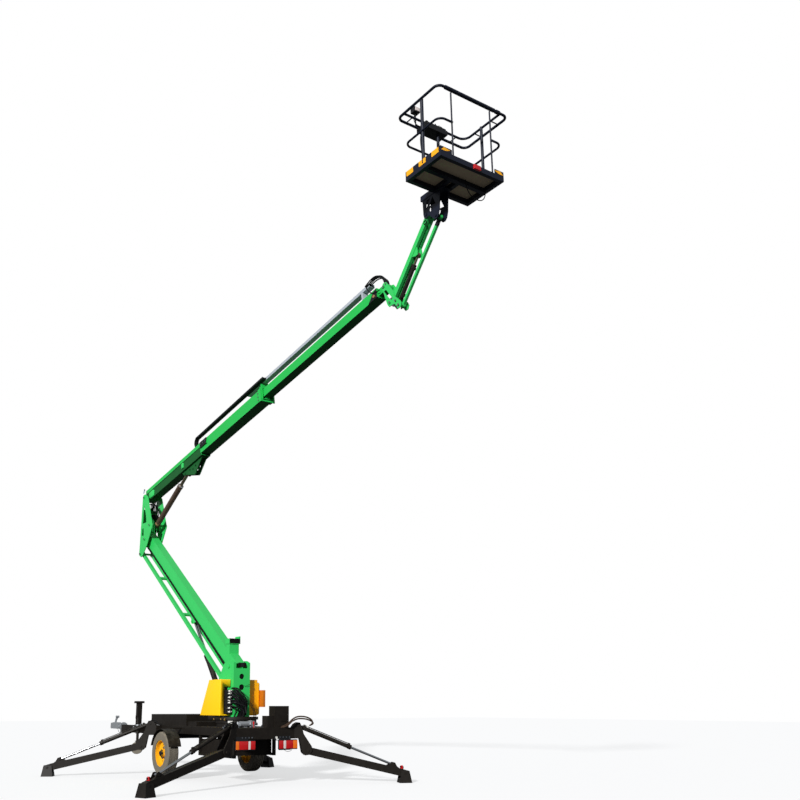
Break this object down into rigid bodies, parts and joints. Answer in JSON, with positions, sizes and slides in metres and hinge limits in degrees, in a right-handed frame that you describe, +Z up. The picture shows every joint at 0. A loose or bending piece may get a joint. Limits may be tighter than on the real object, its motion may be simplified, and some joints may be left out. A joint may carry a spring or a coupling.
{
  "type": "towable articulated boom lift",
  "caption": "Towable articulated boom lift standing on four outriggers, with a folding boom, telescopic upper boom, jib and railed work platform.",
  "frame": {"origin": "on the ground under the slew axis of the turret, with the machine on its four outriggers", "axes": "+X forward to the tow coupling, +Y to the machine's left, +Z up"},
  "size_m": [11.191, 4.4716, 8.535],
  "materials": {
    "frame_black": "satin powder coat",
    "boom_green": "gloss paint",
    "cover_yellow": "gloss moulding",
    "rod_chrome": "hard chrome",
    "rail_dark": "dark powder coat",
    "box_dark": "satin moulding",
    "valve_steel": "machined",
    "tyre_rubber": "moulded tread",
    "rim_yellow": "gloss paint"
  },
  "bodies": {
    "chassis": {"chassis_frame": "frame_black", "axle": "frame_black", "fender_left": "cover_yellow", "fender_right": "cover_yellow", "tail_lamp_left": "box_dark", "tail_lamp_right": "box_dark", "deck_cover": "cover_yellow", "control_boxes": "box_dark", "slew_motor": "valve_steel", "drawbar": "frame_black", "boom_rest": "frame_black", "tow_coupling": "frame_black"},
    "wheel_left": {"tyre_left": "tyre_rubber", "rim_left": "rim_yellow"},
    "wheel_right": {"tyre_right": "tyre_rubber", "rim_right": "rim_yellow"},
    "jockey": {"jockey_stem": "frame_black"},
    "jockey_roll": {"jockey_wheel": "box_dark"},
    "turret": {"turret_column": "boom_green", "cover_left": "cover_yellow", "cover_right": "cover_yellow", "valve_bank": "valve_steel"},
    "lower_boom": {"lower_boom": "boom_green"},
    "level_rods": {"level_rods": "boom_green"},
    "lower_barrel": {"lower_barrel": "boom_green"},
    "lower_ram": {"lower_ram": "rod_chrome"},
    "elbow": {"elbow_link": "boom_green"},
    "upper_boom": {"upper_boom": "boom_green"},
    "upper_barrel": {"upper_barrel": "boom_green"},
    "upper_ram": {"upper_ram": "rod_chrome"},
    "inner_boom": {"inner_boom": "boom_green", "hose_tray": "boom_green"},
    "chain": {"hose_chain": "box_dark"},
    "tip_link": {"tip_link": "boom_green"},
    "jib_arm": {"jib_arm": "boom_green"},
    "jib_rod": {"jib_rod": "boom_green"},
    "jib_barrel": {"jib_barrel": "frame_black"},
    "jib_ram": {"jib_ram": "rod_chrome"},
    "platform": {"platform_support": "frame_black", "basket_floor": "frame_black", "basket_rails": "rail_dark", "platform_console": "box_dark"},
    "gate": {"gate_bar": "rail_dark"},
    "leg_front_left": {"leg_front_left": "frame_black"},
    "pad_front_left": {"pad_front_left": "frame_black"},
    "barrel_front_left": {"barrel_front_left": "frame_black"},
    "ram_front_left": {"ram_front_left": "rod_chrome"},
    "leg_front_right": {"leg_front_right": "frame_black"},
    "pad_front_right": {"pad_front_right": "frame_black"},
    "barrel_front_right": {"barrel_front_right": "frame_black"},
    "ram_front_right": {"ram_front_right": "rod_chrome"},
    "leg_rear_left": {"leg_rear_left": "frame_black"},
    "pad_rear_left": {"pad_rear_left": "frame_black"},
    "barrel_rear_left": {"barrel_rear_left": "frame_black"},
    "ram_rear_left": {"ram_rear_left": "rod_chrome"},
    "leg_rear_right": {"leg_rear_right": "frame_black"},
    "pad_rear_right": {"pad_rear_right": "frame_black"},
    "barrel_rear_right": {"barrel_rear_right": "frame_black"},
    "ram_rear_right": {"ram_rear_right": "rod_chrome"}
  },
  "joints": [
    {"name": "slew", "type": "hinge", "parent": "chassis", "child": "turret", "pos_m": [0, 0, 0.93], "axis": [0, 0, 1], "range_deg": [-180, 180]},
    {"name": "lower_boom_lift", "type": "hinge", "parent": "turret", "child": "lower_boom", "pos_m": [0, 0, 1.75], "axis": [0, -1, 0], "range_deg": [-37.2, 39.8]},
    {"name": "level_rods_turn", "type": "hinge", "parent": "turret", "child": "level_rods", "pos_m": [0.187, 0, 1.477], "axis": [0, -1, 0], "range_deg": [-37.21, 39.81]},
    {"name": "elbow_level", "type": "hinge", "parent": "lower_boom", "child": "elbow", "pos_m": [3.71801, 0, 4.37277], "axis": [0, -1, 0], "range_deg": [-39.81, 37.21]},
    {"name": "lower_barrel_turn", "type": "hinge", "parent": "turret", "child": "lower_barrel", "pos_m": [0.4, 0, 1.12], "axis": [0, -1, 0], "range_deg": [-32.56, 34.84]},
    {"name": "lower_ram_slide", "type": "slide", "parent": "lower_barrel", "child": "lower_ram", "axis": [0.6354, 0, 0.7722], "range_m": [-0.45498, 0.48675]},
    {"name": "upper_boom_lift", "type": "hinge", "parent": "elbow", "child": "upper_boom", "pos_m": [3.83001, 0, 5.24277], "axis": [0, 1, 0], "range_deg": [-13.5, 55]},
    {"name": "upper_barrel_turn", "type": "hinge", "parent": "elbow", "child": "upper_barrel", "pos_m": [3.49001, 0, 4.62277], "axis": [0, 1, 0], "range_deg": [-11.89, 48.41]},
    {"name": "upper_ram_slide", "type": "slide", "parent": "upper_barrel", "child": "upper_ram", "axis": [-0.8784, 0, 0.4779], "range_m": [-0.15365, 0.62445]},
    {"name": "telescope", "type": "slide", "parent": "upper_boom", "child": "inner_boom", "axis": [-0.9877, 0, 0.1564], "range_m": [-2.5, 0.8]},
    {"name": "chain_slide", "type": "slide", "parent": "upper_boom", "child": "chain", "axis": [-0.9877, 0, 0.1564], "range_m": [-1.251, 0.401]},
    {"name": "tip_level", "type": "hinge", "parent": "inner_boom", "child": "tip_link", "pos_m": [-4.07042, 0, 6.56494], "axis": [0, 1, 0], "range_deg": [-55.01, 13.51]},
    {"name": "jib_lift", "type": "hinge", "parent": "tip_link", "child": "jib_arm", "pos_m": [-4.19042, 0, 6.28794], "axis": [0, -1, 0], "range_deg": [-25, 25]},
    {"name": "jib_rod_turn", "type": "hinge", "parent": "tip_link", "child": "jib_rod", "pos_m": [-4.37542, 0, 6.18295], "axis": [0, -1, 0], "range_deg": [-25.01, 25.01]},
    {"name": "platform_level", "type": "hinge", "parent": "jib_arm", "child": "platform", "pos_m": [-4.96768, 0, 7.17579], "axis": [0, -1, 0], "range_deg": [-25.01, 25.01]},
    {"name": "jib_barrel_turn", "type": "hinge", "parent": "tip_link", "child": "jib_barrel", "pos_m": [-4.31542, 0, 6.26394], "axis": [0, -1, 0], "range_deg": [-27.14, 27.14]},
    {"name": "jib_ram_slide", "type": "slide", "parent": "jib_barrel", "child": "jib_ram", "axis": [-0.6288, 0, 0.7776], "range_m": [-0.04806, 0.04806]},
    {"name": "gate_bar_lift", "type": "hinge", "parent": "platform", "child": "gate", "pos_m": [-5.766, -0.44, 8.367], "axis": [1, 0, 0], "range_deg": [0, 80]},
    {"name": "wheel_left_spin", "type": "hinge", "parent": "chassis", "child": "wheel_left", "pos_m": [0.92, 0.775, 0.405], "axis": [0, 1, 0], "continuous": true},
    {"name": "wheel_right_spin", "type": "hinge", "parent": "chassis", "child": "wheel_right", "pos_m": [0.92, -0.775, 0.405], "axis": [0, 1, 0], "continuous": true},
    {"name": "jockey_slide", "type": "slide", "parent": "chassis", "child": "jockey", "axis": [0, 0, 1], "range_m": [-0.1, 0]},
    {"name": "jockey_roll_spin", "type": "hinge", "parent": "jockey", "child": "jockey_roll", "pos_m": [3.53, 0.2, 0.376], "axis": [-0.8387, 0.5446, 0], "continuous": true},
    {"name": "leg_front_left_fold", "type": "hinge", "parent": "chassis", "child": "leg_front_left", "pos_m": [1.915, 0.786, 0.485], "axis": [0.8746, -0.4848, 0], "range_deg": [0, 85]},
    {"name": "pad_front_left_tilt", "type": "hinge", "parent": "leg_front_left", "child": "pad_front_left", "pos_m": [2.64706, 2.10668, 0.138], "axis": [0.8746, -0.4848, 0], "range_deg": [-20, 20]},
    {"name": "barrel_front_left_turn", "type": "hinge", "parent": "chassis", "child": "barrel_front_left", "pos_m": [1.84228, 0.65481, 0.848], "axis": [0.8746, -0.4848, 0], "range_deg": [-0.01, 84.16]},
    {"name": "ram_front_left_slide", "type": "slide", "parent": "barrel_front_left", "child": "ram_front_left", "axis": [0.4511, 0.8138, -0.3665], "range_m": [-0.53457, 0.0005]},
    {"name": "leg_front_right_fold", "type": "hinge", "parent": "chassis", "child": "leg_front_right", "pos_m": [1.915, -0.786, 0.485], "axis": [-0.8746, -0.4848, 0], "range_deg": [0, 85]},
    {"name": "pad_front_right_tilt", "type": "hinge", "parent": "leg_front_right", "child": "pad_front_right", "pos_m": [2.64706, -2.10668, 0.138], "axis": [-0.8746, -0.4848, 0], "range_deg": [-20, 20]},
    {"name": "barrel_front_right_turn", "type": "hinge", "parent": "chassis", "child": "barrel_front_right", "pos_m": [1.84228, -0.65481, 0.848], "axis": [-0.8746, -0.4848, 0], "range_deg": [-0.01, 84.16]},
    {"name": "ram_front_right_slide", "type": "slide", "parent": "barrel_front_right", "child": "ram_front_right", "axis": [0.4511, -0.8138, -0.3665], "range_m": [-0.53457, 0.0005]},
    {"name": "leg_rear_left_fold", "type": "hinge", "parent": "chassis", "child": "leg_rear_left", "pos_m": [-0.96, 0.705, 0.485], "axis": [0.9239, 0.3827, 0], "range_deg": [0, 85]},
    {"name": "pad_rear_left_tilt", "type": "hinge", "parent": "leg_rear_left", "child": "pad_rear_left", "pos_m": [-1.53785, 2.10006, 0.138], "axis": [0.9239, 0.3827, 0], "range_deg": [-20, 20]},
    {"name": "barrel_rear_left_turn", "type": "hinge", "parent": "chassis", "child": "barrel_rear_left", "pos_m": [-0.9026, 0.56642, 0.848], "axis": [0.9239, 0.3827, 0], "range_deg": [-0.01, 84.16]},
    {"name": "ram_rear_left_slide", "type": "slide", "parent": "barrel_rear_left", "child": "ram_rear_left", "axis": [-0.3561, 0.8596, -0.3665], "range_m": [-0.53457, 0.0005]},
    {"name": "leg_rear_right_fold", "type": "hinge", "parent": "chassis", "child": "leg_rear_right", "pos_m": [-0.96, -0.705, 0.485], "axis": [-0.9239, 0.3827, 0], "range_deg": [0, 85]},
    {"name": "pad_rear_right_tilt", "type": "hinge", "parent": "leg_rear_right", "child": "pad_rear_right", "pos_m": [-1.53785, -2.10006, 0.138], "axis": [-0.9239, 0.3827, 0], "range_deg": [-20, 20]},
    {"name": "barrel_rear_right_turn", "type": "hinge", "parent": "chassis", "child": "barrel_rear_right", "pos_m": [-0.9026, -0.56642, 0.848], "axis": [-0.9239, 0.3827, 0], "range_deg": [-0.01, 84.16]},
    {"name": "ram_rear_right_slide", "type": "slide", "parent": "barrel_rear_right", "child": "ram_rear_right", "axis": [-0.3561, -0.8596, -0.3665], "range_m": [-0.53457, 0.0005]}
  ],
  "couplings": [
    {"joint": "level_rods_turn", "follows": "lower_boom_lift", "ratio": 1},
    {"joint": "elbow_level", "follows": "lower_boom_lift", "ratio": -1},
    {"joint": "lower_barrel_turn", "follows": "lower_boom_lift", "ratio": 0.875},
    {"joint": "lower_ram_slide", "follows": "lower_boom_lift", "m_per_rad": 0.7},
    {"joint": "upper_barrel_turn", "follows": "upper_boom_lift", "ratio": 0.88},
    {"joint": "upper_ram_slide", "follows": "upper_boom_lift", "m_per_rad": 0.65},
    {"joint": "chain_slide", "follows": "telescope", "ratio": 0.5},
    {"joint": "tip_level", "follows": "upper_boom_lift", "ratio": -1},
    {"joint": "jib_rod_turn", "follows": "jib_lift", "ratio": 1},
    {"joint": "platform_level", "follows": "jib_lift", "ratio": -1},
    {"joint": "jib_barrel_turn", "follows": "jib_lift", "ratio": 1.085},
    {"joint": "jib_ram_slide", "follows": "jib_lift", "m_per_rad": -0.109},
    {"joint": "barrel_front_left_turn", "follows": "leg_front_left_fold", "ratio": 0.99},
    {"joint": "ram_front_left_slide", "follows": "leg_front_left_fold", "m_per_rad": -0.36},
    {"joint": "barrel_front_right_turn", "follows": "leg_front_right_fold", "ratio": 0.99},
    {"joint": "ram_front_right_slide", "follows": "leg_front_right_fold", "m_per_rad": -0.36},
    {"joint": "barrel_rear_left_turn", "follows": "leg_rear_left_fold", "ratio": 0.99},
    {"joint": "ram_rear_left_slide", "follows": "leg_rear_left_fold", "m_per_rad": -0.36},
    {"joint": "barrel_rear_right_turn", "follows": "leg_rear_right_fold", "ratio": 0.99},
    {"joint": "ram_rear_right_slide", "follows": "leg_rear_right_fold", "m_per_rad": -0.36}
  ]
}
